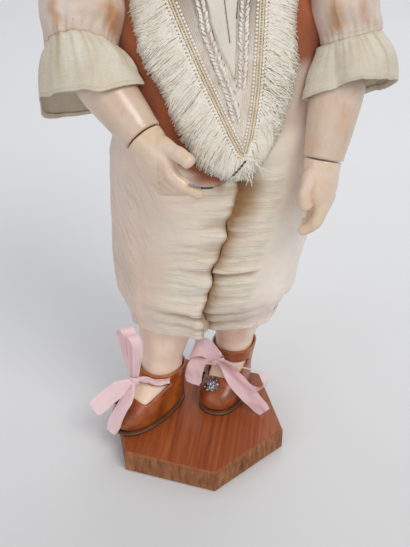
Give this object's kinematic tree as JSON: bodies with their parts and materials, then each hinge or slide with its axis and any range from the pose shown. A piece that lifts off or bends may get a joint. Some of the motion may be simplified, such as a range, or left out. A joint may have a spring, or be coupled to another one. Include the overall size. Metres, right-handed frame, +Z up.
{
  "type": "bisque doll",
  "caption": "Ball-jointed bisque doll strung with elastic, in a fringed satin romper and buttoned leather shoes, held by a wire post on a hexagonal wooden base.",
  "frame": {"origin": "centre of the underside of the hexagonal base", "axes": "+Z up, the doll faces -Y, its right side is -X"},
  "size_m": [0.1796, 0.1189, 0.4586],
  "materials": {
    "base_wood": "waxed reddish-brown wood with paler sawn sides",
    "stand_steel": "drawn wire",
    "hook_wire": "plain wire",
    "button_wood": "turned wood",
    "composition": "flesh-painted and varnished composition",
    "bisque": "tinted unglazed bisque",
    "eye_glass": "blown glass, opaque white with a coloured iris",
    "cork": "plain cork",
    "hair": "brown hair on a cloth cap",
    "satin": "pale pink satin under cream gauze",
    "gauze": "cream cotton gauze",
    "fringe": "cream silk fringe",
    "braid": "cream and straw braid",
    "insert_cloth": "cream-grey cloth",
    "shoe_leather": "polished cognac leather",
    "sole_leather": "dark leather",
    "cut_steel": "faceted cut steel",
    "ribbon": "sheer pink silk ribbon",
    "chain_metal": "black and silver links",
    "elastic": "cloth-covered elastic"
  },
  "bodies": {
    "body": {"base_block": "base_wood", "stand_post": "stand_steel", "stand_screw": "stand_steel", "torso": "composition", "elastic_arms": "elastic", "elastic_body": "elastic", "neck_hook": "hook_wire", "neck_button": "button_wood", "romper_bodice": "satin", "bodice_insert": "insert_cloth", "braid_collar": "braid", "fringe_collar": "fringe", "romper_leg_R": "satin", "romper_leg_L": "satin", "hand_chain": "chain_metal"},
    "head_group": {"head": "bisque", "cork_pate": "cork", "wig": "hair", "eye_R": "eye_glass", "eye_L": "eye_glass"},
    "upper_arm_group_R": {"upper_arm_R": "composition", "elastic_upper_arm_R": "elastic", "sleeve_R": "satin", "cuff_R": "gauze"},
    "forearm_group_R": {"forearm_R": "composition", "elbow_ball_R": "composition", "elastic_forearm_R": "elastic"},
    "hand_group_R": {"hand_R": "composition"},
    "thigh_group_R": {"thigh_R": "composition", "elastic_thigh_R": "elastic"},
    "lower_leg_group_R": {"lower_leg_R": "composition", "knee_ball_R": "composition", "elastic_shin_R": "elastic", "shoe_upper_R": "shoe_leather", "shoe_sole_R": "sole_leather", "shoe_button_R": "cut_steel", "shoe_ribbon_R": "ribbon"},
    "upper_arm_group_L": {"upper_arm_L": "composition", "elastic_upper_arm_L": "elastic", "sleeve_L": "satin", "cuff_L": "gauze"},
    "forearm_group_L": {"forearm_L": "composition", "elbow_ball_L": "composition", "elastic_forearm_L": "elastic"},
    "hand_group_L": {"hand_L": "composition"},
    "thigh_group_L": {"thigh_L": "composition", "elastic_thigh_L": "elastic"},
    "lower_leg_group_L": {"lower_leg_L": "composition", "knee_ball_L": "composition", "elastic_shin_L": "elastic", "shoe_upper_L": "shoe_leather", "shoe_sole_L": "sole_leather", "shoe_button_L": "cut_steel", "shoe_ribbon_L": "ribbon"}
  },
  "joints": [
    {"name": "neck_turn", "type": "hinge", "parent": "body", "child": "head_group", "pos_m": [0.009, 0.018, 0.353], "axis": [0, 0, 1], "range_deg": [-75, 75]},
    {"name": "shoulder_R", "type": "hinge", "parent": "body", "child": "upper_arm_group_R", "pos_m": [-0.045, 0.016, 0.322], "axis": [-1, 0, 0], "range_deg": [0, 90], "deforming": ["hand_chain"]},
    {"name": "elbow_R", "type": "hinge", "parent": "upper_arm_group_R", "child": "forearm_group_R", "pos_m": [-0.0615, -0.0015, 0.2615], "axis": [-0.3243, -0.8814, 0.3434], "range_deg": [-48, 0], "deforming": ["cuff_R", "hand_chain"]},
    {"name": "wrist_R", "type": "hinge", "parent": "forearm_group_R", "child": "hand_group_R", "pos_m": [-0.02534, -0.02984, 0.2229], "axis": [0.6026, -0.4723, -0.6433], "range_deg": [-90, 90], "deforming": ["hand_chain"]},
    {"name": "hip_R", "type": "hinge", "parent": "body", "child": "thigh_group_R", "pos_m": [-0.0135, 0.016, 0.214], "axis": [-1, 0, 0], "range_deg": [0, 25], "deforming": ["romper_leg_R"]},
    {"name": "knee_R", "type": "hinge", "parent": "thigh_group_R", "child": "lower_leg_group_R", "pos_m": [-0.016, 0.0155, 0.124], "axis": [-1, 0, 0], "range_deg": [-25, 0], "deforming": ["romper_leg_R"]},
    {"name": "shoulder_L", "type": "hinge", "parent": "body", "child": "upper_arm_group_L", "pos_m": [0.063, 0.016, 0.322], "axis": [-1, 0, 0], "range_deg": [0, 90]},
    {"name": "elbow_L", "type": "hinge", "parent": "upper_arm_group_L", "child": "forearm_group_L", "pos_m": [0.0785, -0.002, 0.263], "axis": [-1, 0, 0], "range_deg": [0, 30], "deforming": ["cuff_L"]},
    {"name": "wrist_L", "type": "hinge", "parent": "forearm_group_L", "child": "hand_group_L", "pos_m": [0.06862, -0.02072, 0.20686], "axis": [-0.1646, -0.3119, -0.9357], "range_deg": [-5, 90]},
    {"name": "hip_L", "type": "hinge", "parent": "body", "child": "thigh_group_L", "pos_m": [0.0315, 0.016, 0.214], "axis": [-1, 0, 0], "range_deg": [0, 25], "deforming": ["romper_leg_L"]},
    {"name": "knee_L", "type": "hinge", "parent": "thigh_group_L", "child": "lower_leg_group_L", "pos_m": [0.031, 0.0165, 0.124], "axis": [-1, 0, 0], "range_deg": [-25, 0], "deforming": ["romper_leg_L"]}
  ],
  "couplings": [
    {"joint": "knee_R", "follows": "hip_R", "ratio": -1},
    {"joint": "knee_L", "follows": "hip_L", "ratio": -1}
  ]
}
